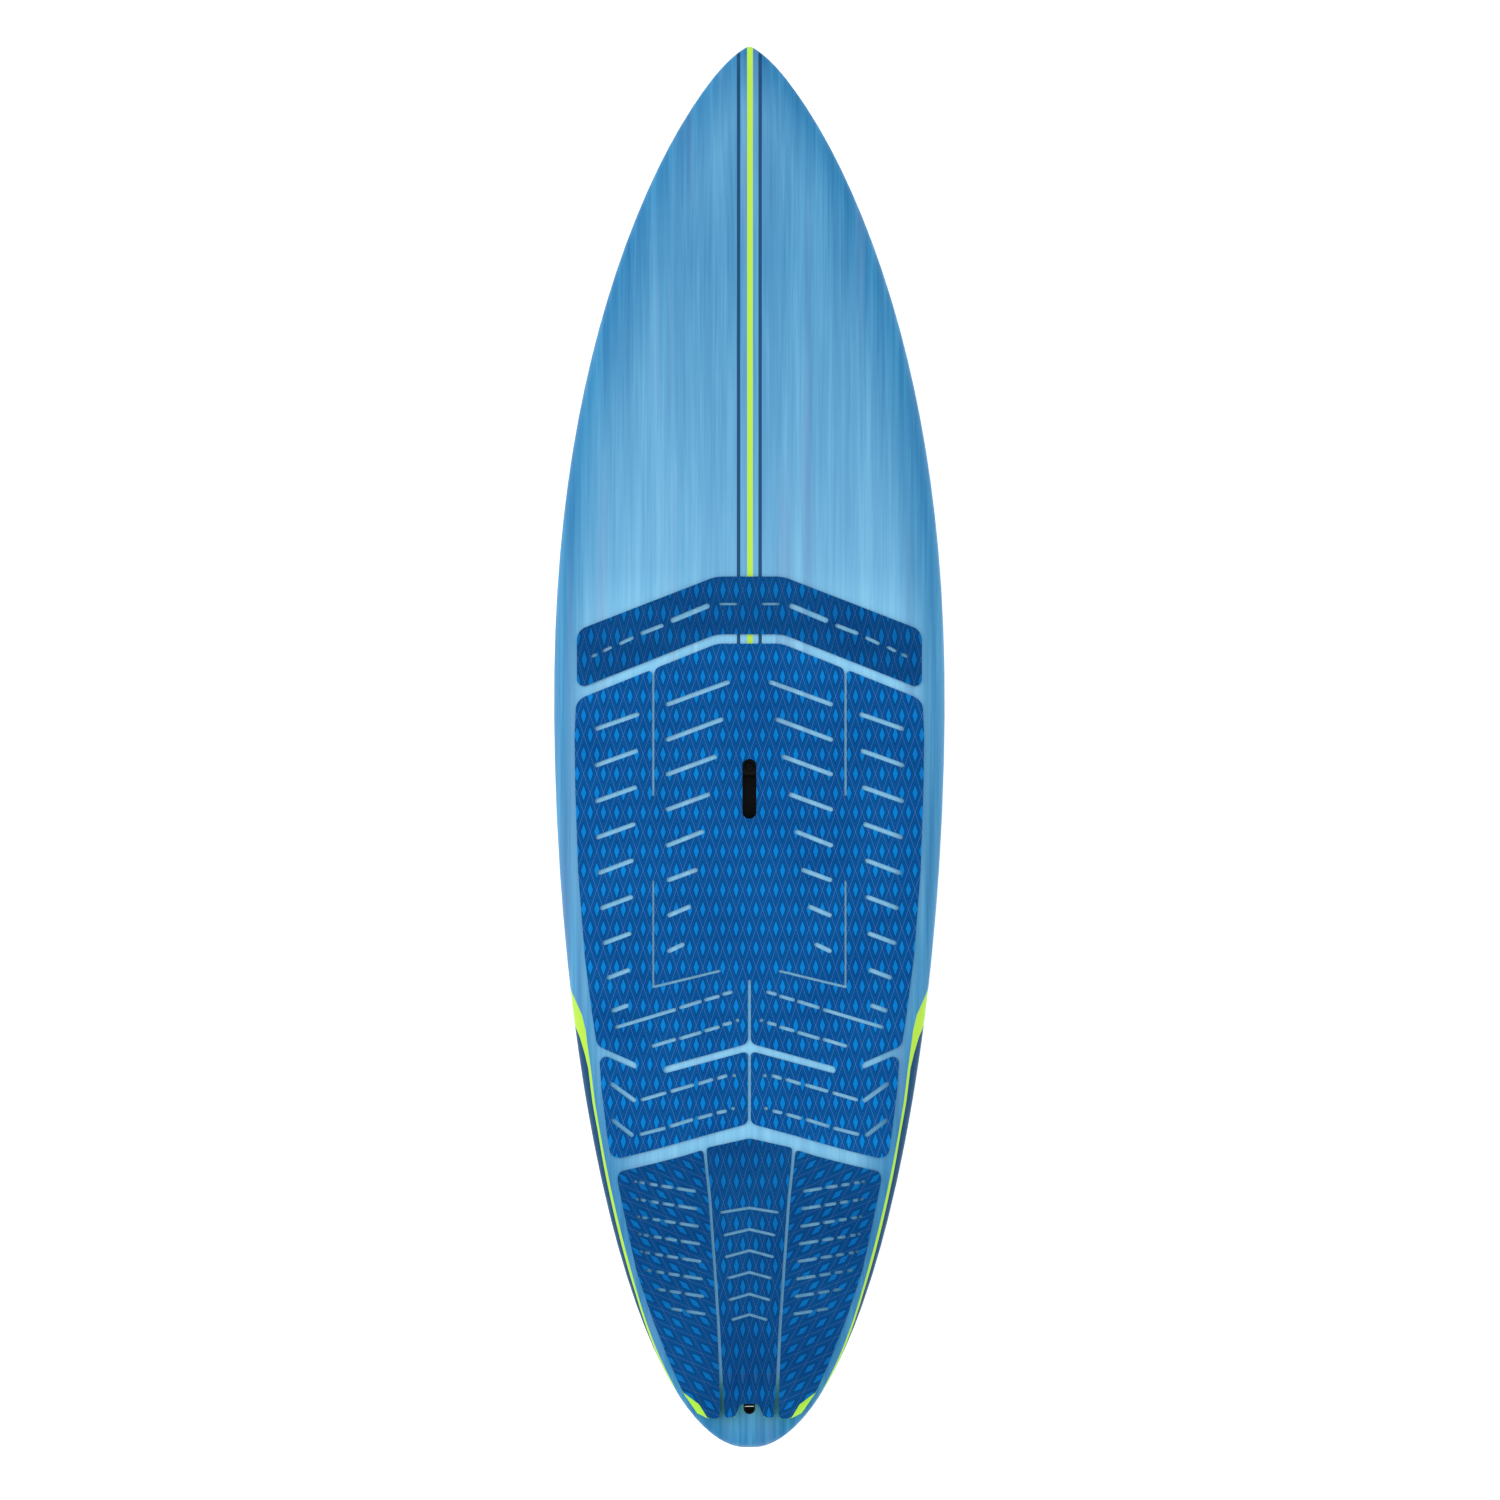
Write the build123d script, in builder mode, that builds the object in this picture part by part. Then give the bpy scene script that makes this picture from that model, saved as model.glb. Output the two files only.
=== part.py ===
from build123d import *
import math
import os

# Short stand-up paddle board: a foam core with a wooden stringer under painted laminate skins,
# with inserts bonded into pockets, three fins and a glued foam deck pad.
# Millimetres. +X to the right looking at the nose, +Y to the nose, +Z up. X = 0 is the middle,
# Y = 0 is half-way along, and Z = 0 is the level of the centre fin's tip.

# Driving dimensions
LENGTH = 2184.0
WIDTH = 612.0
THICKNESS = 106.0
WIDE_POINT_Y = 70.0
NOSE_ROCKER = 165.0
TAIL_ROCKER = 58.0
NOSE_TIP_THICKNESS = 22.0
TAIL_TIP_THICKNESS = 34.0
END_ROUND = 18.0
RAIL_LEVEL = 0.45
BELLY_Z = 79.4  # the canted side fins reach this far below the belly

SKIN = 1.2
STRINGER = 5.0

PAD = 5.0
GLUE = 0.1
KICK = 24.0
KICK_START_Y = -968.0
KICK_END_Y = -1030.0

HANDLE_Y = -61.0
HANDLE_MOUTH = (93.6, 22.4)
HANDLE_COVER = 4.0
HANDLE_CAVITY = (136.0, 64.0)
HANDLE_DEPTH = 48.0
HANDLE_WALL = 3.0
HANDLE_FLANGE = 6.0
HANDLE_BLOCK_MARGIN = 8.0
LEDGE_END_Y = -39.1
LEDGE_DEPTH = 20.0

VENT_Y = -27.0
VENT_RADIUS = 8.0
VENT_LENGTH = 14.0
VENT_BORE = 4.0
VENT_FIT = 0.05

LEASH_Y = -1024.0
LEASH_MOUTH = (22.0, 14.0)
LEASH_WALL = 2.0
LEASH_DEPTH = 21.0
LEASH_BLOCK_MARGIN = 14.0
LEASH_PIN_RADIUS = 1.25
LEASH_PIN_Y = -1025.0
LEASH_PIN_DEPTH = 5.0

FIN_BASE = 114.0
FIN_DEPTH = 112.0
FIN_THICKNESS = 6.4
FIN_TAB_DEPTH = 14.0
FIN_BOX = (136.0, 18.0)
FIN_BOX_DEPTH = 21.0
FIN_SCREW_RADIUS = 3.0
FIN_BLOCK_MARGIN = 9.0
CENTRE_FIN_Y = -924.0
SIDE_FIN_Y = -734.0
SIDE_FIN_FROM_RAIL = 38.0
TOE_IN = 2.5
CANT = 6.0

HALF = LENGTH / 2
HIGH = 420.0


# ---- Shape of the board: outline, rocker and thickness as functions of Y


def half_width(y):
    """Plan outline: a pointed nose and a full round tail."""
    if y >= WIDE_POINT_Y:
        u = (y - WIDE_POINT_Y) / (HALF - WIDE_POINT_Y)
        return WIDTH / 2 * (1 - u**2.18) ** 0.74
    u = (WIDE_POINT_Y - y) / (HALF + WIDE_POINT_Y)
    return WIDTH / 2 * (1 - u**1.9) ** 0.5


def rocker(y):
    """Height of the bottom's centre line over its lowest point."""
    if y >= WIDE_POINT_Y:
        return NOSE_ROCKER * ((y - WIDE_POINT_Y) / (HALF - WIDE_POINT_Y)) ** 2.6
    return TAIL_ROCKER * ((WIDE_POINT_Y - y) / (HALF + WIDE_POINT_Y)) ** 2.2


def bottom_z(y):
    return BELLY_Z + rocker(y)


def full_thickness(y):
    """Thickness on the centre line, before the very ends are rounded off."""
    if y >= WIDE_POINT_Y:
        u = (y - WIDE_POINT_Y) / (HALF - WIDE_POINT_Y)
        return NOSE_TIP_THICKNESS + (THICKNESS - NOSE_TIP_THICKNESS) * (1 - u**2.2)
    u = (WIDE_POINT_Y - y) / (HALF + WIDE_POINT_Y)
    return TAIL_TIP_THICKNESS + (THICKNESS - TAIL_TIP_THICKNESS) * (1 - u**2.4)


def thickness(y):
    to_end = HALF - abs(y)
    if to_end >= END_ROUND:
        return full_thickness(y)
    return full_thickness(y) * math.sqrt(1 - (1 - to_end / END_ROUND) ** 2)


def deck_z(y):
    return bottom_z(y) + thickness(y)


def rail_z(y):
    """Level of the rail's widest line."""
    return bottom_z(y) + RAIL_LEVEL * thickness(y)


def kick_lift(y):
    """Extra height of the arch kick at the tail."""
    u = min(1.0, max(0.0, (KICK_START_Y - y) / (KICK_START_Y - KICK_END_Y)))
    return KICK * u * u * (3 - 2 * u)


def no_lift(y):
    return 0.0


def from_end(step, steps):
    """Distance of a section from the board's end: close together where the ends are blunt."""
    return HALF * (1 - math.cos(math.pi / 2 * (step / steps) ** 1.25))


TIP = 1.5  # the sections stop this far short of the very ends
STATIONS = [-HALF + TIP] + [-HALF + from_end(i, 10) for i in range(2, 10)] + [0.0]
STATIONS += [HALF - from_end(i, 10) for i in range(9, 1, -1)] + [HALF - TIP]
KICK_STATIONS = [-HALF + TIP] + [-HALF + from_end(i, 24) for i in range(5, 21)]
DECK_SHOULDER = 0.75
BOTTOM_SHOULDER = 0.95


def deck_points(y, inset, lift=no_lift):
    """Control points of the deck's cross-section, from the left rail over to the right one."""
    side = rail_z(y)
    crown = deck_z(y) + lift(y) - side
    w = half_width(y) - min(inset, 0.3 * half_width(y))
    rise = (crown - min(inset, 0.3 * crown)) * 64 / (50 + 12 * DECK_SHOULDER)
    right = [(0.66 * w, side + rise), (w, side + DECK_SHOULDER * rise), (w, side)]
    return [(-x, z) for x, z in reversed(right)] + [(0, side + rise)] + right


def bottom_points(y, inset):
    """Control points of the bottom's cross-section, from the right rail under to the left one."""
    side = rail_z(y)
    depth = side - bottom_z(y)
    w = half_width(y) - min(inset, 0.3 * half_width(y))
    drop = (depth - min(inset, 0.3 * depth)) * 64 / (50 + 12 * BOTTOM_SHOULDER)
    left = [(-0.9 * w, side - drop), (-w, side - BOTTOM_SHOULDER * drop), (-w, side)]
    return [(-x, z) for x, z in reversed(left)] + [(0, side - drop)] + left


def board_solid(inset, places, lift=no_lift):
    """The board's shape through sections at places, inset all round, with its deck raised by lift."""
    with BuildPart() as shape:
        for y in places:
            with BuildSketch(Plane.XZ.offset(-y)):
                with BuildLine():
                    Bezier(*deck_points(y, inset, lift))
                    Bezier(*bottom_points(y, inset))
                make_face()
        loft()
    return shape.part


def skin_solid(points):
    """A laminate skin: half of the board's surface, one skin's thickness deep."""
    with BuildPart() as shape:
        for y in STATIONS:
            outside = points(y, 0.0)
            inside = points(y, SKIN)
            with BuildSketch(Plane.XZ.offset(-y)):
                with BuildLine():
                    Bezier(*outside)
                    Line(outside[-1], inside[-1])
                    Bezier(*reversed(inside))
                    Line(inside[0], outside[0])
                make_face()
        loft()
    return shape.part


outer = board_solid(0.0, STATIONS)
CORE_INSET = SKIN + GLUE
core_shape = board_solid(CORE_INSET, STATIONS)
pad_under = board_solid(-GLUE, STATIONS)
pad_over = board_solid(-GLUE - PAD, STATIONS)
kick_shape = board_solid(-GLUE, KICK_STATIONS, kick_lift)
kick_pad_over = board_solid(-GLUE - PAD, KICK_STATIONS, kick_lift)


def both_sides(points):
    """A closed outline from its right half, listed from the top of the middle line downwards."""
    left = [(-x, y) for x, y in reversed(points)]
    return points + [p for p in left if p[0] < 0]


def prism(points, low, high):
    with BuildPart() as body:
        with BuildSketch(Plane.XY.offset(low)):
            with BuildLine():
                Polyline(*points, close=True)
            make_face()
        extrude(amount=high - low)
    return body.part


def slot_prism(y, size, low, high):
    """An upright prism of round-ended plan, long along Y, on the middle line."""
    with BuildPart() as body:
        with BuildSketch(Plane((0, y, low))):
            SlotOverall(size[0], size[1], rotation=90)
        extrude(amount=high - low)
    return body.part


# ---- Pockets for the inserts


HANDLE_TOP = deck_z(HANDLE_Y)
COVER_Z = HANDLE_TOP - HANDLE_COVER
CUP_FLOOR_Z = HANDLE_TOP - HANDLE_DEPTH
CUP_SIZE = (HANDLE_CAVITY[0] + 2 * HANDLE_WALL, HANDLE_CAVITY[1] + 2 * HANDLE_WALL)
COVER_SIZE = (CUP_SIZE[0] + 2 * HANDLE_FLANGE, CUP_SIZE[1] + 2 * HANDLE_FLANGE)
HANDLE_BLOCK = (COVER_SIZE[0] + 2 * HANDLE_BLOCK_MARGIN, COVER_SIZE[1] + 2 * HANDLE_BLOCK_MARGIN)
HANDLE_BLOCK_Z = CUP_FLOOR_Z - HANDLE_WALL - HANDLE_BLOCK_MARGIN
LEDGE_Z = HANDLE_TOP - LEDGE_DEPTH

LEASH_TOP = deck_z(LEASH_Y)
LEASH_FLOOR_Z = LEASH_TOP - LEASH_DEPTH
LEASH_CUP = (LEASH_MOUTH[0] + 2 * LEASH_WALL, LEASH_MOUTH[1] + 2 * LEASH_WALL)
LEASH_BLOCK = (LEASH_CUP[0] + 2 * LEASH_BLOCK_MARGIN, LEASH_CUP[1] + 2 * LEASH_BLOCK_MARGIN)
LEASH_BLOCK_Z = LEASH_FLOOR_Z - LEASH_WALL - LEASH_BLOCK_MARGIN / 2

cover_prism = slot_prism(HANDLE_Y, COVER_SIZE, COVER_Z, HIGH)
cup_prism = slot_prism(HANDLE_Y, CUP_SIZE, CUP_FLOOR_Z - HANDLE_WALL, COVER_Z)
mouth_prism = slot_prism(HANDLE_Y, HANDLE_MOUTH, CUP_FLOOR_Z + 1, HIGH)
handle_block_prism = slot_prism(HANDLE_Y, HANDLE_BLOCK, HANDLE_BLOCK_Z, HIGH)
leash_cup_prism = slot_prism(LEASH_Y, LEASH_CUP, LEASH_FLOOR_Z - LEASH_WALL, HIGH)
leash_mouth_prism = slot_prism(LEASH_Y, LEASH_MOUTH, LEASH_FLOOR_Z, HIGH)
leash_block_prism = slot_prism(LEASH_Y, LEASH_BLOCK, LEASH_BLOCK_Z, HIGH)


def fin_plane(side):
    """Plane at a fin's foot: local x along the base to the nose, local z out of the board."""
    y = SIDE_FIN_Y if side else CENTRE_FIN_Y
    x = side * (half_width(y) - SIDE_FIN_FROM_RAIL)
    toe = math.radians(TOE_IN) * side
    cant = math.radians(CANT) * side
    slope = (rocker(y + 1) - rocker(y - 1)) / 2
    along = Vector(-math.sin(toe), math.cos(toe), slope).normalized()
    out = Vector(math.sin(cant), 0, -math.cos(cant))
    out = (out - along * along.dot(out)).normalized()
    foot = bottom_z(y) + (0.6 if side else 0.0)
    return Plane(origin=(x, y, foot), x_dir=along, z_dir=out)


def fin_prism(plane, size, depth):
    """A round-ended prism along a fin's foot, from below the board to a depth inside it."""
    with BuildPart() as body:
        with BuildSketch(plane.offset(-depth)):
            with Locations((2, 0)):
                SlotOverall(size[0], size[1])
        extrude(amount=depth + 12)
    return body.part


FIN_BLOCK = (FIN_BOX[0] + 2 * FIN_BLOCK_MARGIN, FIN_BOX[1] + 2 * FIN_BLOCK_MARGIN)
FIN_BLOCK_DEPTH = FIN_BOX_DEPTH + 6
FIN_SIDES = {"centre": 0, "left": -1, "right": 1}
fin_planes = {name: fin_plane(side) for name, side in FIN_SIDES.items()}
block_planes = {name: fin_planes[name] for name in ("centre", "right")}
fin_box_prisms = {name: fin_prism(p, FIN_BOX, FIN_BOX_DEPTH) for name, p in fin_planes.items()}
fin_block_prisms = {
    name: fin_prism(p, FIN_BLOCK, FIN_BLOCK_DEPTH) for name, p in block_planes.items()
}

pieces = []


def finish(name, builder):
    """Label a finished piece and keep it for writing."""
    builder.part.label = name
    pieces.append(name)
    export_step(builder.part, f"parts/{name}.step")


os.makedirs("parts", exist_ok=True)

# ---- Laminate skins: glass and paint over the whole board, in a deck and a bottom half

with BuildPart() as deck_skin:
    add(skin_solid(deck_points))
    add(cover_prism, mode=Mode.SUBTRACT)
    add(leash_cup_prism, mode=Mode.SUBTRACT)
finish("deck_skin", deck_skin)

with BuildPart() as bottom_skin:
    add(skin_solid(bottom_points))
    for tool in fin_box_prisms.values():
        add(tool, mode=Mode.SUBTRACT)
finish("bottom_skin", bottom_skin)

# ---- Core: two foam halves either side of a wooden stringer


CORE_PLACES = STATIONS[1:-1]  # the tips are solid laminate
CORE_END_Y = CORE_PLACES[-1]
core_pockets = [handle_block_prism, leash_block_prism]
core_pockets += [fin_block_prisms["centre"], fin_block_prisms["right"]]

with BuildPart() as foam_core_right:
    add(core_shape)
    with Locations((STRINGER / 2, 0, 0)):
        Box(
            WIDTH,
            2 * CORE_END_Y,
            2 * HIGH,
            align=(Align.MIN, Align.CENTER, Align.CENTER),
            mode=Mode.INTERSECT,
        )
    for tool in core_pockets:
        add(tool, mode=Mode.SUBTRACT)
finish("foam_core_right", foam_core_right)

with BuildPart() as foam_core_left:
    mirror(foam_core_right.part, about=Plane.YZ)
finish("foam_core_left", foam_core_left)

with BuildPart() as stringer:
    with BuildSketch(Plane.YZ):
        with BuildLine():
            top = Spline(*[(y, deck_z(y) - 2 * CORE_INSET) for y in CORE_PLACES])
            under = Spline(*[(y, bottom_z(y) + 2 * CORE_INSET) for y in CORE_PLACES])
            Line(top @ 0, under @ 0)
            Line(top @ 1, under @ 1)
        make_face()
    extrude(amount=STRINGER / 2, both=True)
    for tool in core_pockets[:3]:
        add(tool, mode=Mode.SUBTRACT)
finish("stringer", stringer)

# ---- Carry handle: a foam block, a moulded cup with a vent ledge, and a slotted cover

with BuildPart() as handle_block:
    add(core_shape)
    add(handle_block_prism, mode=Mode.INTERSECT)
    add(cover_prism, mode=Mode.SUBTRACT)
    add(cup_prism, mode=Mode.SUBTRACT)
    with Locations((0, VENT_Y, HANDLE_BLOCK_Z)):
        Cylinder(
            VENT_BORE, HIGH, align=(Align.CENTER, Align.CENTER, Align.MIN), mode=Mode.SUBTRACT
        )
finish("handle_block", handle_block)

with BuildPart() as handle_cup:
    add(cup_prism)
    with BuildSketch(Plane((0, HANDLE_Y, CUP_FLOOR_Z))) as cavity_plan:
        SlotOverall(*HANDLE_CAVITY, rotation=90)
        with Locations((0, LEDGE_END_Y - HANDLE_Y + HANDLE_CAVITY[0] / 2)):
            Rectangle(HANDLE_CAVITY[1] + 2, HANDLE_CAVITY[0], mode=Mode.SUBTRACT)
    extrude(amount=HANDLE_DEPTH, mode=Mode.SUBTRACT)
    with BuildSketch(Plane((0, HANDLE_Y, LEDGE_Z))):
        SlotOverall(*HANDLE_CAVITY, rotation=90)
    extrude(amount=HANDLE_DEPTH, mode=Mode.SUBTRACT)
    with Locations((0, VENT_Y, LEDGE_Z)):
        Cylinder(
            VENT_RADIUS,
            VENT_LENGTH,
            align=(Align.CENTER, Align.CENTER, Align.MAX),
            mode=Mode.SUBTRACT,
        )
        Cylinder(
            VENT_BORE, HIGH, align=(Align.CENTER, Align.CENTER, Align.MAX), mode=Mode.SUBTRACT
        )
finish("handle_cup", handle_cup)

with BuildPart() as handle_cover:
    add(outer)
    add(cover_prism, mode=Mode.INTERSECT)
    add(mouth_prism, mode=Mode.SUBTRACT)
finish("handle_cover", handle_cover)

# ---- Air vent: a threaded body in the ledge, a screw and its sealing ring

RING_RADIUS = 5.1
RING_SECTION = 1.0
SEAT_RADIUS = 6.4
SEAT_DEPTH = 1.7
HEAD_GAP = 0.4
HEAD_RADIUS = 6.5
HEAD_HEIGHT = 3.5
COIN_SLOT = 2.0

with BuildPart() as vent_body:
    with BuildSketch(Plane((0, VENT_Y, LEDGE_Z - VENT_LENGTH))):
        Circle(VENT_RADIUS)
        Circle(VENT_BORE, mode=Mode.SUBTRACT)
    extrude(amount=VENT_LENGTH)
    with BuildSketch(Plane((0, VENT_Y, LEDGE_Z - SEAT_DEPTH))):
        Circle(SEAT_RADIUS)
    extrude(amount=SEAT_DEPTH, mode=Mode.SUBTRACT)
finish("vent_body", vent_body)

with BuildPart() as vent_ring:
    with BuildSketch(Plane((0, VENT_Y, 0), x_dir=(1, 0, 0), z_dir=(0, -1, 0))):
        with Locations((RING_RADIUS, LEDGE_Z - SEAT_DEPTH + RING_SECTION + VENT_FIT)):
            Circle(RING_SECTION)
    revolve(axis=Axis((0, VENT_Y, 0), (0, 0, 1)))
finish("vent_o_ring", vent_ring)

with BuildPart() as vent_screw:
    with BuildSketch(Plane((0, VENT_Y, LEDGE_Z + HEAD_GAP))):
        Circle(HEAD_RADIUS)
    extrude(amount=HEAD_HEIGHT)
    chamfer(vent_screw.faces().sort_by(Axis.Z)[-1].edges(), 0.6)
    with BuildSketch(Plane((0, VENT_Y, LEDGE_Z + HEAD_GAP + HEAD_HEIGHT))):
        Rectangle(2 * HEAD_RADIUS + 2, COIN_SLOT)
    extrude(amount=-COIN_SLOT, mode=Mode.SUBTRACT)
    with BuildSketch(Plane((0, VENT_Y, LEDGE_Z + HEAD_GAP))):
        Circle(VENT_BORE - VENT_FIT)
    extrude(amount=-(VENT_LENGTH - 2))
finish("vent_screw", vent_screw)

# ---- Leash plug: a foam block, a cup flush with the deck and a steel cross pin

PIN_Z = LEASH_TOP - LEASH_PIN_DEPTH
PIN_LENGTH = LEASH_CUP[1]

with BuildPart() as leash_block:
    add(core_shape)
    add(leash_block_prism, mode=Mode.INTERSECT)
    add(leash_cup_prism, mode=Mode.SUBTRACT)
finish("leash_block", leash_block)

with BuildPart() as leash_cup:
    add(outer)
    add(leash_cup_prism, mode=Mode.INTERSECT)
    add(leash_mouth_prism, mode=Mode.SUBTRACT)
    with Locations(Location((0, LEASH_PIN_Y, PIN_Z), (0, 90, 0))):
        Cylinder(LEASH_PIN_RADIUS, PIN_LENGTH - 1, mode=Mode.SUBTRACT)
finish("leash_cup", leash_cup)

with BuildPart() as leash_pin:
    with Locations(Location((0, LEASH_PIN_Y, PIN_Z), (0, 90, 0))):
        Cylinder(LEASH_PIN_RADIUS, PIN_LENGTH - 1)
finish("leash_pin", leash_pin)

# ---- Fins: a foam block, a long single-tab box, a foiled fin and its screw at each place


def fin_edges(depth_share):
    """Front and back of the blade, along the base, at a share of its depth."""
    s = depth_share
    reach = FIN_BASE / 2
    front = reach - 0.88 * FIN_BASE * s**1.35 - 0.245 * FIN_BASE * (1 - math.sqrt(1 - s * s))
    back = -reach + 0.14 * FIN_BASE * math.sin(math.pi * s) - 0.125 * FIN_BASE * s
    return front, back


SCREW_X = FIN_BASE / 2 + 2.5
SCREW_DEPTH = 12.0

for name in ("centre", "right"):
    plane = fin_planes[name]
    with BuildPart() as fin_block:
        add(core_shape)
        add(fin_block_prisms[name], mode=Mode.INTERSECT)
        add(fin_box_prisms[name], mode=Mode.SUBTRACT)
    finish(f"fin_block_{name}", fin_block)

    with BuildPart() as fin_box:
        add(outer)
        add(fin_box_prisms[name], mode=Mode.INTERSECT)
        with BuildSketch(plane.offset(-FIN_TAB_DEPTH - 1)):
            Rectangle(FIN_BASE + 0.4, FIN_THICKNESS + 0.2)
        extrude(amount=FIN_TAB_DEPTH + 12, mode=Mode.SUBTRACT)
        with BuildSketch(plane.offset(-SCREW_DEPTH - 1)):
            with Locations((SCREW_X, 0)):
                Circle(FIN_SCREW_RADIUS)
        extrude(amount=SCREW_DEPTH + 12, mode=Mode.SUBTRACT)
    finish(f"fin_box_{name}", fin_box)

    with BuildPart() as fin:
        with BuildSketch(plane.offset(-FIN_TAB_DEPTH)):
            Rectangle(FIN_BASE, FIN_THICKNESS)
        extrude(amount=FIN_TAB_DEPTH - 0.5)
        for share in (-0.01, 0.2, 0.4, 0.6, 0.78, 0.9, 0.965, 0.995):
            front, back = fin_edges(max(0.0, share))
            bulge = max(0.6, FIN_THICKNESS / 2 * ((front - back) / FIN_BASE) ** 0.8)
            middle = back + 0.6 * (front - back)
            with BuildSketch(plane.offset(share * FIN_DEPTH)):
                with BuildLine():
                    ThreePointArc((back, 0), (middle, bulge), (front, 0))
                    ThreePointArc((front, 0), (middle, -bulge), (back, 0))
                make_face()
        loft()
        with BuildSketch(plane.offset(-FIN_TAB_DEPTH)):
            with Locations((SCREW_X, 0)):
                Circle(FIN_SCREW_RADIUS)
        extrude(amount=FIN_TAB_DEPTH + 6, mode=Mode.SUBTRACT)
    finish(f"fin_{name}", fin)

    with BuildPart() as fin_screw:
        with BuildSketch(plane.offset(-SCREW_DEPTH)):
            with Locations((SCREW_X, 0)):
                Circle(FIN_SCREW_RADIUS)
        extrude(amount=SCREW_DEPTH - 1)
        with BuildSketch(plane.offset(-1)):
            with Locations((SCREW_X, 0)):
                RegularPolygon(1.6, 6)
        extrude(amount=-3, mode=Mode.SUBTRACT)
    finish(f"fin_screw_{name}", fin_screw)

right_set = {"fin_block": fin_block, "fin_box": fin_box, "fin": fin, "fin_screw": fin_screw}
for name, piece in right_set.items():
    with BuildPart() as left_piece:
        mirror(piece.part, about=Plane.YZ)
    finish(f"{name}_left", left_piece)

# ---- Deck pad: five sheets of grooved foam glued to the deck, over a three-piece arch kick

front_pad_half = [(0, 270), (52, 270), (262, 189), (269.5, 178), (269.5, 105), (260, 98), (52, 180)]
front_pad_half += [(0, 180)]

main_pad_half = [(0, 165.5), (50, 165.5), (262, 81), (271, 70), (273, 20), (272, -60)]
main_pad_half += [(267.5, -190), (257, -325), (246, -410), (238, -462)]
main_pad_half += [(176, -489), (176, -499), (226, -478), (234, -486), (231, -530), (222.5, -600)]
main_pad_half += [(217, -633), (204, -638), (154, -625.4), (54, -597), (2.3, -583)]
main_pad_half += [(2.3, -470), (134, -505.5), (134, -494.5), (2.3, -458), (2.3, -360), (0, -358)]

side_slit = [(72, -624), (69.5, -650), (64, -700), (57, -800), (50.3, -900), (47, -980)]
side_slit += [(45.6, -1036)]
side_pad = side_slit + [(48.6, -1042), (65, -1041.7), (81.6, -1036), (104, -1002)]
side_pad += [(124.6, -957), (151.6, -888), (176, -815), (190.6, -749), (206.5, -670)]
side_pad += [(203, -659), (154, -647), (104, -634)]
centre_pad_half = [(0, -606), (67, -621), (64.8, -650), (59.4, -700), (52.4, -800), (45.7, -900)]
centre_pad_half += [(42, -975), (38.6, -1036), (37, -1040), (23.4, -1040), (13.5, -1019), (0, -1019)]

pad_outlines = {
    "front_pad": both_sides(front_pad_half),
    "main_pad": both_sides(main_pad_half),
    "tail_pad_centre": both_sides(centre_pad_half),
    "tail_pad_right": side_pad,
}


OVER_RAIL = 155.0  # above every rail line beside the pads, and below every pad


def pad_zone(top, outline):
    """The space over the deck, up to the underside of top, inside an outline."""
    with BuildPart() as zone:
        add(top)
        add(prism(outline, OVER_RAIL, HIGH), mode=Mode.INTERSECT)
        add(pad_under, mode=Mode.SUBTRACT)
    return zone.part


for name in ("front_pad", "main_pad"):
    with BuildPart() as pad:
        add(pad_zone(pad_over, pad_outlines[name]))
        if name == "main_pad":
            add(mouth_prism, mode=Mode.SUBTRACT)
    finish(name, pad)

tail_end = Pos(0, KICK_START_Y - 8, 0) * Box(
    WIDTH, HALF, 2 * HIGH, align=(Align.CENTER, Align.MAX, Align.CENTER)
)

for name in ("centre", "right"):
    outline = pad_outlines[f"tail_pad_{name}"]
    with BuildPart() as kick_wedge:
        add(pad_zone(kick_shape, outline))
        add(tail_end, mode=Mode.INTERSECT)
    finish(f"kick_wedge_{name}", kick_wedge)

    with BuildPart() as tail_pad:
        add(pad_zone(kick_pad_over, outline))
        add(kick_wedge.part, mode=Mode.SUBTRACT)
    finish(f"tail_pad_{name}", tail_pad)

with BuildPart() as kick_wedge_left:
    mirror(kick_wedge.part, about=Plane.YZ)
finish("kick_wedge_left", kick_wedge_left)

with BuildPart() as tail_pad_left:
    mirror(tail_pad.part, about=Plane.YZ)
finish("tail_pad_left", tail_pad_left)

print(len(pieces), "pieces,", round(outer.volume / 1e6, 1), "litres")
print("deck at the handle", round(HANDLE_TOP, 2), "ledge", round(LEDGE_Z, 2), "belly", round(BELLY_Z, 2))
print("deck at the leash plug", round(LEASH_TOP, 2), "pin", round(PIN_Z, 2))
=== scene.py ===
import math

import bmesh
import bpy
import numpy as np
from mathutils import Matrix, Vector


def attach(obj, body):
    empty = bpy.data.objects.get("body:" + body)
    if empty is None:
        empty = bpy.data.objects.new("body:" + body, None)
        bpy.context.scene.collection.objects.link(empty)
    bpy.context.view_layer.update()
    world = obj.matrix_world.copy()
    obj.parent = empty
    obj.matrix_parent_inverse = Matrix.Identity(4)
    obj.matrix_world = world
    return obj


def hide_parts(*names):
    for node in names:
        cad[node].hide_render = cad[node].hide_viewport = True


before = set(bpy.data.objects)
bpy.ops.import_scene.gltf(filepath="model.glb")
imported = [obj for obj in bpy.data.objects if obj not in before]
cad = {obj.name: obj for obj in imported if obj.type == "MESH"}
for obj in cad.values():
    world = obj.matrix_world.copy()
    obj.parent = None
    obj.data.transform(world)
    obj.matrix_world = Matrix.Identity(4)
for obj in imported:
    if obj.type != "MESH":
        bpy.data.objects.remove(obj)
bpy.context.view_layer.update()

# ---- Painted laminate
# The board is shaped foam under two glass and epoxy laminates, a deck half and a bottom half that
# meet along the rail. The paint is sprayed and brushed on the glass, then sealed and rubbed down: a
# pale middle, deeper blue at the ends and rails, lengthwise brush streaks, and taped lines. The
# deeper blue along the rails is partly paint fade and partly painted shade where the rail curves
# away from the light. Under the deck pads the pale paint is brightened further, as painted light
# against the shade in the pads' slots.

HALF = 1.092
HALF_BEAM = 0.306
WIDE_Y = 0.070
BELLY_Z = 0.0794


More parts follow.
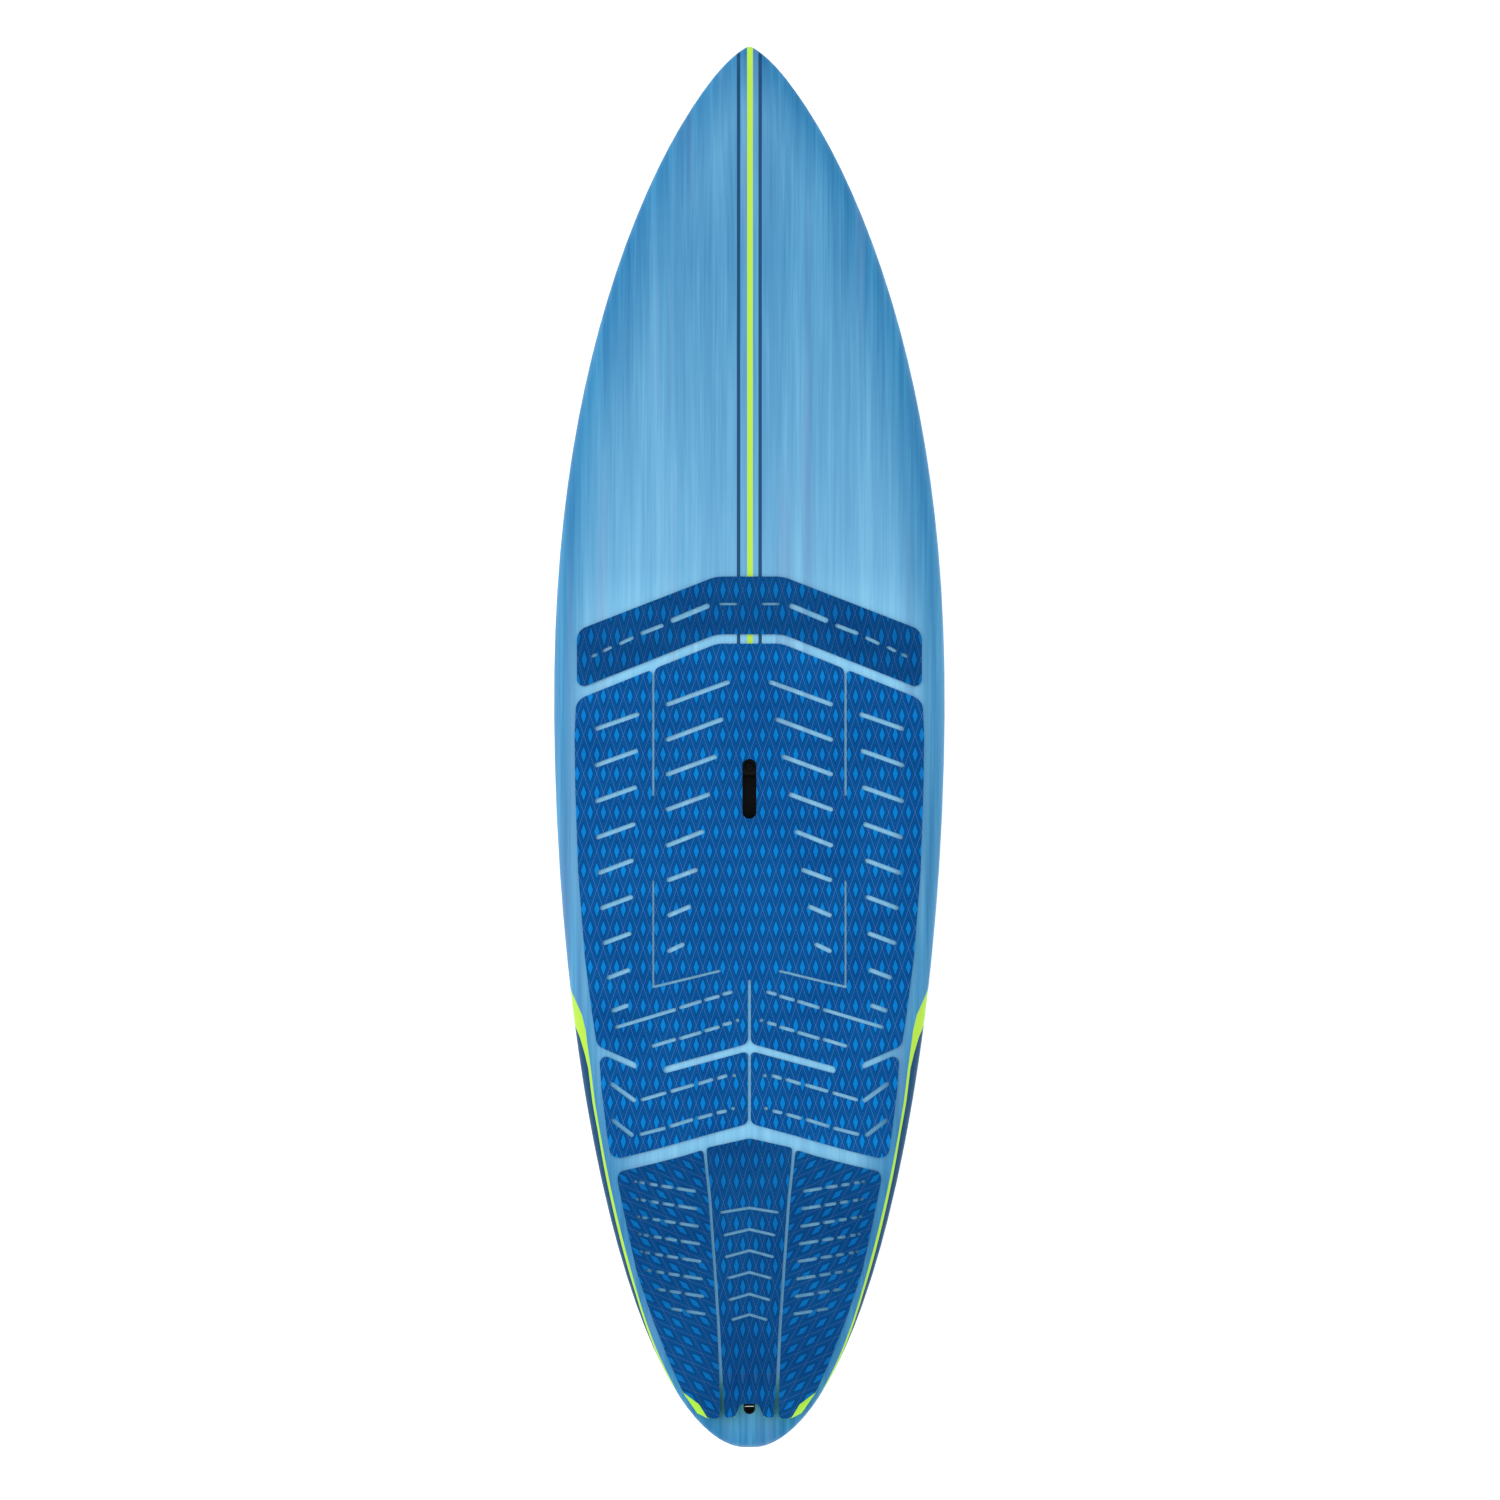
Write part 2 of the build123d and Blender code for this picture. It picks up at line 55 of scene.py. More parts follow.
def linear(code):
    """The linear colour of an sRGB hex code."""
    parts = [int(code[i : i + 2], 16) / 255 for i in (1, 3, 5)]
    parts = [c / 12.92 if c <= 0.04045 else ((c + 0.055) / 1.055) ** 2.4 for c in parts]
    return (*parts, 1.0)


def add(tree, kind, feeds, stops=(), bends=(), **settings):
    """Add a node. Each feed is a number, a colour, another node's first output or a socket."""
    made = tree.nodes.new("ShaderNode" + kind)
    for name, value in settings.items():
        setattr(made, name, value)
    for place, value in feeds.items():
        value = value.outputs[0] if isinstance(value, bpy.types.Node) else value
        if isinstance(value, bpy.types.NodeSocket):
            tree.links.new(value, made.inputs[place])
        else:
            made.inputs[place].default_value = value
    for i, (place, code) in enumerate(stops):
        steps = made.color_ramp.elements
        step = steps[i] if i < 2 else steps.new(place)
        step.position, step.color = place, linear(code)
    for i, place in enumerate(bends):
        curve = made.mapping.curves[0].points
        point = curve[i] if i < 2 else curve.new(*place)
        point.location, point.handle_type = place, "VECTOR"
    if bends:
        made.mapping.update()
    return made


def new_material(name, **finish):
    """A material with a principled shader, and the shader's uniform settings."""
    material = bpy.data.materials.new(name)
    material.use_nodes = True
    shader = material.node_tree.nodes["Principled BSDF"]
    for socket, value in finish.items():
        shader.inputs[socket.replace("_", " ")].default_value = value
    return material, material.node_tree, shader


def paint_node(name, material):
    for held in cad[name].material_slots:
        held.material = material


def edge_distance(tree, out, y):
    """How far inside the board's plan outline a place is, out from the middle line and along y."""
    fore = add(tree, "MapRange", {0: y, 1: WIDE_Y, 2: HALF})
    fore = add(tree, "Math", {0: fore, 1: 2.18}, operation="POWER")
    fore = add(tree, "Math", {0: 1.0, 1: fore}, operation="SUBTRACT")
    fore = add(tree, "Math", {0: fore, 1: 0.74}, operation="POWER")
    aft = add(tree, "MapRange", {0: y, 1: WIDE_Y, 2: -HALF})
    aft = add(tree, "Math", {0: aft, 1: 1.9}, operation="POWER")
    aft = add(tree, "Math", {0: 1.0, 1: aft}, operation="SUBTRACT")
    aft = add(tree, "Math", {0: aft, 1: 0.5}, operation="POWER")
    wide = add(tree, "Math", {0: fore, 1: aft}, operation="MULTIPLY")
    wide = add(tree, "Math", {0: wide, 1: HALF_BEAM}, operation="MULTIPLY")
    return add(tree, "Math", {0: wide, 1: out}, operation="SUBTRACT")


def over(tree, under, code, mask):
    """A taped colour laid over the paint where the mask is 1."""
    mixed = add(tree, "Mix", {0: mask, 6: under, 7: linear(code)}, data_type="RGBA")
    return mixed.outputs[2]


DEEP_PAINT = [(0.32, "#1E6EA6"), (0.5, "#3284B8"), (0.68, "#489CCC")]
PALE_PAINT = [(0.32, "#80C8F2"), (0.5, "#90D4F8"), (0.68, "#A4E0FF")]
# How much of the pale paint shows along the middle, from the tail at 0 to the nose at 1. Under the
# pads, and fully under the main sheet, it is raised as painted light, so that the deck seen through
# the pads' slots stays bright in their shade.
DECK_SHARES = [(0.0, "#303030"), (0.03, "#484848"), (0.05, "#B0B0B0"), (0.2, "#D0D0D0")]
DECK_SHARES += [(0.25, "#FFFFFF"), (0.56, "#FFFFFF"), (0.63, "#BCBCBC"), (0.69, "#A8A8A8")]
DECK_SHARES += [(0.78, "#8E8E8E"), (0.85, "#747474"), (0.93, "#8C8C8C"), (0.985, "#9C9C9C")]
BOTTOM_SHARES = [(0.0, "#303030"), (1.0, "#505050"), (0.5, "#D0D0D0")]
STREAK_FREQUENCY = (62.0, 1.5, 8.0)  # brush streaks 8 to 16 mm wide and half a metre long
BRISTLE_FREQUENCY = (330.0, 5.0, 40.0)  # bristle marks 3 mm wide
LIME_LINE = "#BCEB4C"
NAVY_LINE = "#0C4A76"
CENTRE_LINE = (0.001, 0.0045)  # the middle of a taped line, and half its width
SIDE_LINES = (0.0168, 0.0027)
LINES_END_Y = 0.1
HAIR = 0.0002  # keeps the flash off the very edge where it has no width
RAIL_FLASH_Y = (-0.36, -1.02)
# How far in from the rail each colour of the flash reaches, as a share of FLASH_FULL, against how
# far along the flash from its front end; the first two places are its two ends.
FLASH_FULL = 0.020
LIME_EDGE = [(0.0, 0.0), (1.0, 0.0), (0.02, 0.0), (0.083, 0.7), (0.12, 0.83), (0.21, 0.81)]
LIME_EDGE += [(0.29, 0.71), (0.44, 0.65), (0.59, 0.58), (0.67, 0.53), (0.74, 0.44), (0.82, 0.3)]
LIME_EDGE += [(0.89, 0.2), (0.955, 0.13), (0.99, 0.0)]
NAVY_EDGE = [(0.0, 0.0), (1.0, 0.0), (0.106, 0.0), (0.136, 0.3), (0.174, 0.5), (0.21, 0.61)]
NAVY_EDGE += [(0.29, 0.51), (0.36, 0.52), (0.44, 0.45), (0.59, 0.37), (0.74, 0.28), (0.82, 0.15)]
NAVY_EDGE += [(0.89, 0.05), (0.95, 0.0)]


def laminate(name, shares, taped):
    """Paint over glass under rubbed-down epoxy: a satin skin with faint, wide highlights."""
    material, tree, shader = new_material(
        name, Roughness=0.4, IOR=1.5, Specular_IOR_Level=0.12, Coat_Weight=0.03,
        Coat_Roughness=0.2,
    )
    place = add(tree, "TexCoord", {}).outputs["Object"]
    apart = add(tree, "SeparateXYZ", {0: place})
    x, y = apart.outputs[0], apart.outputs[1]
    out = add(tree, "Math", {0: x}, operation="ABSOLUTE")
    inside = edge_distance(tree, out, y)

    streaks = add(tree, "Mapping", {0: place, 3: STREAK_FREQUENCY})
    streaks = add(tree, "TexNoise", {0: streaks, "Scale": 1.0, "Detail": 4.0, "Roughness": 0.6})
    bristles = add(tree, "Mapping", {0: place, 3: BRISTLE_FREQUENCY})
    bristles = add(tree, "TexNoise", {0: bristles, "Scale": 1.0, "Detail": 3.0})
    grain = add(tree, "Math", {0: bristles, 1: 0.35, 2: 0.0}, operation="MULTIPLY_ADD")
    grain = add(tree, "Math", {0: streaks, 1: 0.65, 2: grain}, operation="MULTIPLY_ADD")
    deep = add(tree, "ValToRGB", {0: grain}, DEEP_PAINT)
    pale = add(tree, "ValToRGB", {0: grain}, PALE_PAINT)
    along = add(tree, "MapRange", {0: y, 1: -HALF, 2: HALF})
    middle = add(tree, "ValToRGB", {0: along}, shares)
    # Deeper paint within 15 to 80 mm of the rail: partly paint fade, partly painted shade where the
    # rail curves down away from the light
    rail = add(tree, "MapRange", {0: inside, 1: 0.015, 2: 0.08, 3: 0.1, 4: 1.0})
    zone = add(tree, "Math", {0: middle, 1: rail}, operation="MULTIPLY")
    coat = add(tree, "Mix", {0: zone, 6: deep.outputs[0], 7: pale.outputs[0]}, data_type="RGBA")
    coat = coat.outputs[2]
    violet = add(tree, "Mapping", {0: place, 1: (0.31, 0.2, 0.0), 3: (34.0, 1.1, 4.0)})
    violet = add(tree, "TexNoise", {0: violet, "Scale": 1.0, "Detail": 2.0})
    violet = add(tree, "MapRange", {0: violet, 1: 0.56, 2: 0.76, 3: 0.0, 4: 0.45})
    coat = over(tree, coat, "#6F8FBE", violet)
    if taped:
        fore_deck = add(tree, "Math", {0: y, 1: LINES_END_Y}, operation="GREATER_THAN")
        lines = ((x, CENTRE_LINE, LIME_LINE), (out, SIDE_LINES, NAVY_LINE))
        for away, (middle_x, half), code in lines:
            line = add(tree, "Math", {0: away, 1: middle_x, 2: half}, operation="COMPARE")
            line = add(tree, "Math", {0: line, 1: fore_deck}, operation="MULTIPLY")
            coat = over(tree, coat, code, line)
    flash = add(tree, "MapRange", {0: y, 1: RAIL_FLASH_Y[0], 2: RAIL_FLASH_Y[1]})
    for edge, code in ((LIME_EDGE, LIME_LINE), (NAVY_EDGE, NAVY_LINE)):
        reach = add(tree, "FloatCurve", {1: flash}, bends=edge)
        reach = add(tree, "Math", {0: reach, 1: FLASH_FULL, 2: -HAIR}, operation="MULTIPLY_ADD")
        mask = add(tree, "Math", {0: inside, 1: reach}, operation="LESS_THAN")
        coat = over(tree, coat, code, mask)
    tree.links.new(coat, shader.inputs["Base Color"])
    relief = add(tree, "Bump", {"Strength": 0.06, "Distance": 0.0004, "Height": grain})
    tree.links.new(relief.outputs[0], shader.inputs["Normal"])
    return material


paint_node("deck_skin", laminate("brushed deck paint under satin epoxy", DECK_SHARES, True))
paint_node("bottom_skin", laminate("brushed bottom paint under satin epoxy", BOTTOM_SHARES, False))

# ---- Core, stringer and bonded blocks
# Two halves of moulded polystyrene foam glued to a paulownia stringer, with blocks of hard PVC
# foam let in where the handle, the leash plug and the fin boxes take their load. All of it is
# inside the laminate.

BEAD_FREQUENCY = 300.0  # beads of about 3.3 mm


def beads():
    """Expanded polystyrene: white fused beads with faint grey seams, dull."""
    material, tree, shader = new_material("expanded polystyrene foam", Roughness=0.85, IOR=1.5)
    place = add(tree, "TexCoord", {}).outputs["Object"]
    cells = add(tree, "TexVoronoi", {0: place, "Scale": BEAD_FREQUENCY}, feature="DISTANCE_TO_EDGE")
    tone = add(tree, "ValToRGB", {0: cells}, [(0.0, "#C9CBCC"), (0.12, "#F1F2F2")])
    tree.links.new(tone.outputs[0], shader.inputs["Base Color"])
    relief = add(tree, "Bump", {"Strength": 0.5, "Distance": 0.0006, "Height": cells})
    tree.links.new(relief.outputs[0], shader.inputs["Normal"])
    return material


def grained(name, frequency, codes, bump, **finish):
    """A material whose tone and relief follow one stretched noise."""
    material, tree, shader = new_material(name, **finish)
    place = add(tree, "TexCoord", {}).outputs["Object"]
    stretched = add(tree, "Mapping", {0: place, 3: frequency})
    grain = add(tree, "TexNoise", {0: stretched, "Scale": 1.0, "Detail": 4.0, "Roughness": 0.6})
    tone = add(tree, "ValToRGB", {0: grain}, [(0.35, codes[0]), (0.65, codes[1])])
    tree.links.new(tone.outputs[0], shader.inputs["Base Color"])
    relief = add(tree, "Bump", {"Strength": 0.4, "Distance": bump, "Height": grain})
    tree.links.new(relief.outputs[0], shader.inputs["Normal"])
    return material


foam = beads()
for side in ("left", "right"):
    paint_node(f"foam_core_{side}", foam)

# Sawn paulownia: pale, straight grained, with rings 2 mm apart drawn out along the board
wood = grained(
    "sawn paulownia", (60.0, 4.0, 500.0), ("#B98F5C", "#DDBB86"), 0.0003, Roughness=0.6, IOR=1.45
)
paint_node("stringer", wood)

# Hard PVC foam: even, dull and slightly yellow, with cells too fine to see drawn 1 mm across
dense = grained(
    "hard PVC foam", (1000.0,) * 3, ("#C9B98D", "#D8CBA4"), 0.0002, Roughness=0.8, IOR=1.5
)
for name in ("handle_block", "leash_block", "fin_block_centre", "fin_block_left", "fin_block_right"):
    paint_node(name, dense)

# ---- Carry handle, vent and leash plug
# Injection moulded black ABS cup and slotted cover, bonded flush into the deck, with the air
# vent's threaded insert, screw and sealing ring on a ledge inside it. The leash plug is a second
# small cup with a stainless cross pin pressed through it.

# Moulded ABS: satin black with a spark-eroded texture about 0.7 mm across
black = grained(
    "moulded black ABS", (1400.0,) * 3, ("#010102", "#030304"), 0.00006,
    Roughness=0.5, Specular_IOR_Level=0.12,
)
for name in ("handle_cup", "handle_cover", "leash_cup"):
    paint_node(name, black)

# Glass-filled nylon: a shade greyer than the cup, duller, flecked by its fibres
nylon = grained(
    "glass-filled nylon", (500.0, 2200.0, 500.0), ("#050507", "#0B0C0E"), 0.00005,
    Roughness=0.6, Specular_IOR_Level=0.12,
)
paint_node("vent_body", nylon)
paint_node("vent_screw", nylon)

# Moulded nitrile rubber: black, matt, slightly dusty
rubber = grained("nitrile rubber", (900.0,) * 3, ("#0B0B0B", "#171717"), 0.00004, Roughness=0.75)
paint_node("vent_o_ring", rubber)

# Drawn stainless rod: bright, with fine marks along the drawing direction
steel = grained(
    "drawn stainless steel", (60.0, 3000.0, 3000.0), ("#C4C7CA", "#E2E4E6"), 0.00002,
    Roughness=0.28, Metallic=1.0,
)
paint_node("leash_pin", steel)

# ---- Fins and fin boxes
# Three hand-foiled fins pressed from glass and epoxy, each held by its tab in a long box and by
# one stainless grub screw. The boxes are moulded black ABS bonded flush with the bottom.

# Pressed glass and epoxy: deep blue, glossy, with the cloth just showing as 1.5 mm flecks
pressed = grained(
    "pressed glass and epoxy", (650.0, 650.0, 650.0), ("#0B3A66", "#0F4C84"), 0.00003,
    Roughness=0.22, IOR=1.54, Coat_Weight=0.3,
)
for side in ("centre", "left", "right"):
    paint_node(f"fin_{side}", pressed)
    paint_node(f"fin_box_{side}", black)
    paint_node(f"fin_screw_{side}", steel)

# ---- Deck pad
# Five sheets of 5 mm closed-cell EVA foam, heat pressed with a lattice of diamonds, cut out with
# round-ended slots that let the deck show, and stuck to the deck. The three tail sheets climb
# over an arch kick of lime foam at the tail.

NOSE_ROCKER = 0.165
TAIL_ROCKER = 0.058
THICKNESS = 0.106
NOSE_THINNING = 0.084
TAIL_THINNING = 0.072
END_ROUND = 0.018
RAIL_LEVEL = 0.45
KICK_START_Y = -0.968
KICK_END_Y = -1.030
KICK = 0.024

PAD = 0.005
GLUE = 0.0001
SLOT_ENDS = 16


def half_width(y):
    """Plan outline: a pointed nose and a round tail."""
    fore, aft = shares(y)
    return HALF_BEAM * (1 - fore**2.18) ** 0.74 * (1 - aft**1.9) ** 0.5


def shares(y):
    """How far forward, and how far back, of the widest place, from 0 there to 1 at the ends."""
    fore = np.clip((y - WIDE_Y) / (HALF - WIDE_Y), 0, 1)
    return fore, np.clip((WIDE_Y - y) / (HALF + WIDE_Y), 0, 1)


def bezier(values, t):
    last = len(values) - 1
    terms = [math.comb(last, i) * (1 - t) ** (last - i) * t**i * v for i, v in enumerate(values)]
    return sum(terms)


# The deck's cross-section, from its crown at 0.5 to the rail at 1
CROSSING = np.linspace(0.5, 1.0, 400)
CROSSING_X = bezier((-1, -1, -0.66, 0, 0.66, 1, 1), CROSSING)
CROSSING_Z = bezier((0, 0.75, 1, 1, 1, 0.75, 0), CROSSING)
CROWN_SHARE = 59 / 64  # the height of that curve's crown


def deck_height(x, y):
    """Height of the deck's surface."""
    fore, aft = shares(y)
    bottom = BELLY_Z + NOSE_ROCKER * fore**2.6 + TAIL_ROCKER * aft**2.2
    thick = THICKNESS - NOSE_THINNING * fore**2.2 - TAIL_THINNING * aft**2.4
    thick = thick * np.sqrt(1 - (1 - np.clip((HALF - np.abs(y)) / END_ROUND, 0, 1)) ** 2)
    rise = (1 - RAIL_LEVEL) * thick / CROWN_SHARE
    share = np.abs(x) / np.maximum(half_width(y), 1e-6)
    return bottom + RAIL_LEVEL * thick + rise * np.interp(share, CROSSING_X, CROSSING_Z)


def kick_lift(y):
    """How far the arch kick raises the tail sheets."""
    share = np.clip((KICK_START_Y - y) / (KICK_START_Y - KICK_END_Y), 0, 1)
    return KICK * share**2 * (3 - 2 * share)


def drape(mesh, lift):
    """Lay a flat sheet on the deck, keeping each point's height over it."""
    places = np.empty(len(mesh.vertices) * 3, np.float32)
    mesh.vertices.foreach_get("co", places)
    places = places.reshape(-1, 3).astype(float)
    x, y = places[:, 0], places[:, 1]
    places[:, 2] += deck_height(x, y) + lift * kick_lift(y) + GLUE
    mesh.vertices.foreach_set("co", places.astype(np.float32).ravel())
    mesh.update()


def both_sides(points):
    """A closed outline from its right half, listed down from the middle line."""
    return points + [(-x, y) for x, y in reversed(points) if x > 0]


def extrude_up(shape, faces, height):
    """Raise a closed body from flat faces, and return its upper faces."""
    grown = bmesh.ops.extrude_face_region(shape, geom=faces, use_keep_orig=True)["geom"]
    raised = [part for part in grown if isinstance(part, bmesh.types.BMVert)]
    bmesh.ops.translate(shape, vec=(0, 0, height), verts=raised)
    bmesh.ops.recalc_face_normals(shape, faces=shape.faces)
    return [part for part in grown if isinstance(part, bmesh.types.BMFace)]


def new_piece(name, shape, materials):
    mesh = bpy.data.meshes.new(name)
    shape.to_mesh(mesh)
    shape.free()
    piece = bpy.data.objects.new(name, mesh)
    bpy.context.scene.collection.objects.link(piece)
    for material in materials:
        mesh.materials.append(material)
    return piece


CUTTER_LOW = -0.01
CUTTER_HIGH = 0.02


def outline_body(points, radius):
    """A tall body of an outline in millimetres, its corners rounded as far as its sides allow."""
    shape = bmesh.new()
    ring = [shape.verts.new((x / 1000, y / 1000, CUTTER_LOW)) for x, y in points]
    shape.faces.new(ring)
    rounds = [min(radius / 1000, 0.42 * min(e.calc_length() for e in v.link_edges)) for v in ring]
    for corner, offset in zip(ring, rounds):
        bmesh.ops.bevel(
            shape, geom=[corner], offset=offset, segments=5, profile=0.5, affect="VERTICES",
            material=-1,
        )
    extrude_up(shape, shape.faces[:], CUTTER_HIGH - CUTTER_LOW)
    return shape


def add_slot(shape, x1, y1, x2, y2, width):
    """A tall round-ended body between two places in millimetres."""
    ends = bmesh.ops.create_circle(
        shape, cap_ends=True, segments=SLOT_ENDS, radius=width / 2000,
        matrix=Matrix.Rotation(math.pi / SLOT_ENDS, 4, "Z"),
    )["verts"]
    length = math.hypot(x2 - x1, y2 - y1) / 1000
    bmesh.ops.translate(shape, vec=(length, 0, 0), verts=[v for v in ends if v.co.x > 0])
    turn = Matrix.Rotation(math.atan2(y2 - y1, x2 - x1), 4, "Z")
    place = Matrix.Translation((x1 / 1000, y1 / 1000, CUTTER_LOW))
    bmesh.ops.transform(shape, matrix=place @ turn, verts=ends)
    extrude_up(shape, list({f for v in ends for f in v.link_faces}), CUTTER_HIGH - CUTTER_LOW)


def cut(piece, shape, operation):
    """Intersect a piece with a body, or take the body out of it."""
    tool = new_piece("tool", shape, [])
    change = piece.modifiers.new("cut", "BOOLEAN")
    change.object, change.operation, change.solver = tool, operation, "MANIFOLD"
    solid = piece.evaluated_get(bpy.context.evaluated_depsgraph_get())
    mesh = bpy.data.meshes.new_from_object(solid)
    piece.modifiers.clear()
    old, piece.data = piece.data, mesh
    mesh.name = piece.name
    bpy.data.meshes.remove(old)
    bpy.data.objects.remove(tool)


# Heat-pressed EVA: matt and slightly soft to the eye. The pressed valleys are painted darkest, as
# painted shade in the grooves, and the raised lines and small diamonds are painted paler, as painted
# highlight on the raised faces.
# Its 0.3 mm cells are drawn 1.2 mm across, as coarse as they need to show.
def pressed_foam(name, codes):
    material, tree, shader = new_material(
        name, Roughness=0.85, IOR=1.45, Specular_IOR_Level=0.06
    )
    place = add(tree, "TexCoord", {}).outputs["Object"]
    cells = add(tree, "TexNoise", {0: place, "Scale": 800.0, "Detail": 2.0})
    cloud = add(tree, "TexNoise", {0: place, "Scale": 9.0, "Detail": 2.0})
    mixed = add(tree, "Math", {0: cells, 1: 0.35, 2: 0.0}, operation="MULTIPLY_ADD")
    mixed = add(tree, "Math", {0: cloud, 1: 0.65, 2: mixed}, operation="MULTIPLY_ADD")
    tone = add(tree, "ValToRGB", {0: mixed}, [(0.34, codes[0]), (0.66, codes[1])])
    tree.links.new(tone.outputs[0], shader.inputs["Base Color"])
    relief = add(tree, "Bump", {"Strength": 0.35, "Distance": 0.0003, "Height": cells})
    tree.links.new(relief.outputs[0], shader.inputs["Normal"])
    return material


def pressed_set(shading, valley, ridge, field, diamond):
    """The four finishes of one painted lighting level, paler or darker, in the order that VALLEY,
    RIDGE, FIELD and DIAMOND name; the valleys carry painted shade, the ridges and diamonds painted
    highlight.
    """
    return [
        pressed_foam(f"EVA foam pressed valley, {shading} batch", valley),
        pressed_foam(f"EVA foam rubbed ridge, {shading} batch", ridge),
        pressed_foam(f"EVA foam field, {shading} batch", field),
        pressed_foam(f"EVA foam open diamond, {shading} batch", diamond),
    ]


# The main sheet, in the middle of the board, is painted a little paler than the front one and the
# three at the tail, as painted light where the middle is lit more brightly.
PALER = pressed_set(
    "paler", ("#01366C", "#02407A"), ("#2868B4", "#3274C0"), ("#0458A2", "#0864B0"),
    ("#0674C6", "#0A84D8"),
)
DARKER = pressed_set(
    "darker", ("#012E5E", "#02386C"), ("#205898", "#2A64A6"), ("#044E92", "#085A9E"),
    ("#0460A8", "#0870BC"),
)
VALLEY, RIDGE, FIELD, DIAMOND = range(4)
# Finishes given to the pressed steps: the valleys with painted shade, the ridges and diamonds with
# painted highlight
PRESS_STEPS = [(0.65, 0.0, RIDGE), (0.9, -0.9, VALLEY), (1.2, 0.0, FIELD), (0.6, 0.4, VALLEY)]
PRESS_STEPS += [(0.9, 0.0, FIELD), (0.6, -0.4, VALLEY), (0.4, 0.0, FIELD), (0.5, 0.8, VALLEY)]


def lattice(outline, cell, turn, centre):
    """A pressed sheet of diamond cells, big enough for an outline; sizes in millimetres."""
    shape = bmesh.new()
    reach = max(math.hypot(x - centre[0], y - centre[1]) for x, y in outline)
    count = 2 * (int(reach / min(cell) * 1.2) + 2)
    bmesh.ops.create_grid(shape, x_segments=count, y_segments=count, size=count / 2)
    square = 1000 * math.sqrt(2)  # a unit square on its corner, in millimetres across
    stretch = Matrix.Diagonal((cell[0] / square, cell[1] / square, 1, 1))
    place = Matrix.Translation((centre[0] / 1000, centre[1] / 1000, 0))
    turned = Matrix.Rotation(math.radians(turn), 4, "Z")
    diagonal = Matrix.Rotation(math.pi / 4, 4, "Z")
    bmesh.ops.transform(shape, matrix=place @ turned @ stretch @ diagonal, verts=shape.verts)
    spare = max(cell) / 1000
    low = Vector((min(x for x, y in outline), min(y for x, y in outline))) / 1000
    high = Vector((max(x for x, y in outline), max(y for x, y in outline))) / 1000
    outside = []
    for face in shape.faces:
        x, y, _ = face.calc_center_median()
        if not (low.x - spare < x < high.x + spare and low.y - spare < y < high.y + spare):
            outside.append(face)
    bmesh.ops.delete(shape, geom=outside, context="FACES")
    cells = extrude_up(shape, shape.faces[:], PAD)
    for face in shape.faces:
        face.material_index = RIDGE
    for thick, deep, finish in PRESS_STEPS:
        made = bmesh.ops.inset_individual(
            shape, faces=cells, thickness=thick / 1000, depth=deep / 1000, use_even_offset=True
        )
        for face in made["faces"]:
            face.material_index = finish
    for face in cells:
        face.material_index = DIAMOND
    return shape


def pad_sheet(name, outline, cell, turn, centre, radius, slots, lift=0, shading=DARKER):
    """Press, cut out, slot and lay one sheet. Slots come as lists cut one after the other."""
    piece = new_piece(f"{name}_sheet", lattice(outline, cell, turn, centre), shading)
    cut(piece, outline_body(outline, radius), "INTERSECT")
    for group in slots:
        tools = bmesh.new()
        for slot in group:
            add_slot(tools, *slot)
        cut(piece, tools, "DIFFERENCE")
    drape(piece.data, lift)
    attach(piece, "board")
    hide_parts(name)
    return piece


def mirrored(slots):
    return [(-x1, y1, -x2, y2, width) for x1, y1, x2, y2, width in slots]


front_half = [(0, 270), (52, 270), (262, 189), (269.5, 178), (269.5, 105), (260, 98), (52, 180)]
front_half += [(0, 180)]
front_slots = [(66, 224, 119, 202, 8.5), (137, 193.5, 167, 182, 6.5), (183, 174.5, 201, 166, 5.5)]
front_slots += [(217, 159.5, 227, 154.5, 5), (240, 148.5, 245, 146, 5), (21, 227.3, 45, 227.3, 4)]
pad_sheet(
    "front_pad", both_sides(front_half), (20.6, 72), 0, (0, 141), 10,
    [front_slots, mirrored(front_slots)],
)

main_half = [(0, 165.5), (50, 165.5), (148.2, 126.4), (148.2, -72), (151.8, -72), (151.8, 125)]
main_half += [(262, 81), (271, 70), (273, 20), (272, -60)]
main_half += [(267.5, -190), (257, -325), (246, -410), (238, -462)]
main_half += [(176, -489), (176, -499), (226, -478), (234, -486), (231, -530), (222.5, -600)]
main_half += [(217, -633), (204, -638), (154, -625.4), (54, -597), (2.3, -583)]
main_half += [(2.3, -470), (134, -505.5), (134, -494.5), (2.3, -458), (2.3, -360), (0, -358)]

outer_slots = [(238, 33, 175, 55), (238.5, -24, 177, -2), (238, -80, 179, -59)]
outer_slots += [(236.5, -136.5, 181, -116.5), (234, -192, 184, -173), (230, -247, 185, -230)]
outer_slots += [(226, -301.5, 187.6, -287), (219.6, -355.6, 189.6, -344)]
outer_slots += [(212.4, -407, 192, -399.4)]
inner_slots = [(127, 71, 34, 105), (127, 16, 44, 47), (127, -38, 54, -11), (127, -93, 64.6, -70)]
inner_slots += [(127, -149, 74, -128), (125.6, -203, 84, -187.6), (125, -258, 94.4, -245)]
inner_slots += [(125, -313.6, 104.6, -304)]
row_slots = [(207, -433, 117, -405.5), (107, -402, 77, -392.5), (68, -390, 49, -384.5)]
row_slots += [(40, -381, 29, -378), (150, -462, 117, -452), (107, -450, 77, -441)]
row_slots += [(68, -438, 49, -432.5), (40, -428.5, 30, -426), (19, -422, 18.5, -422)]
row_slots += [(167, -546, 132, -535.5), (121, -532.5, 89, -523), (78, -520.5, 59, -514.5)]
row_slots += [(48, -512, 37, -508.5), (24, -508, 23.5, -508), (169, -600, 133, -590.5)]
row_slots += [(122, -587, 90, -577), (79, -574.5, 60, -569), (49, -566, 38, -563.5)]
row_slots += [(26, -559.5, 25.5, -559.5)]
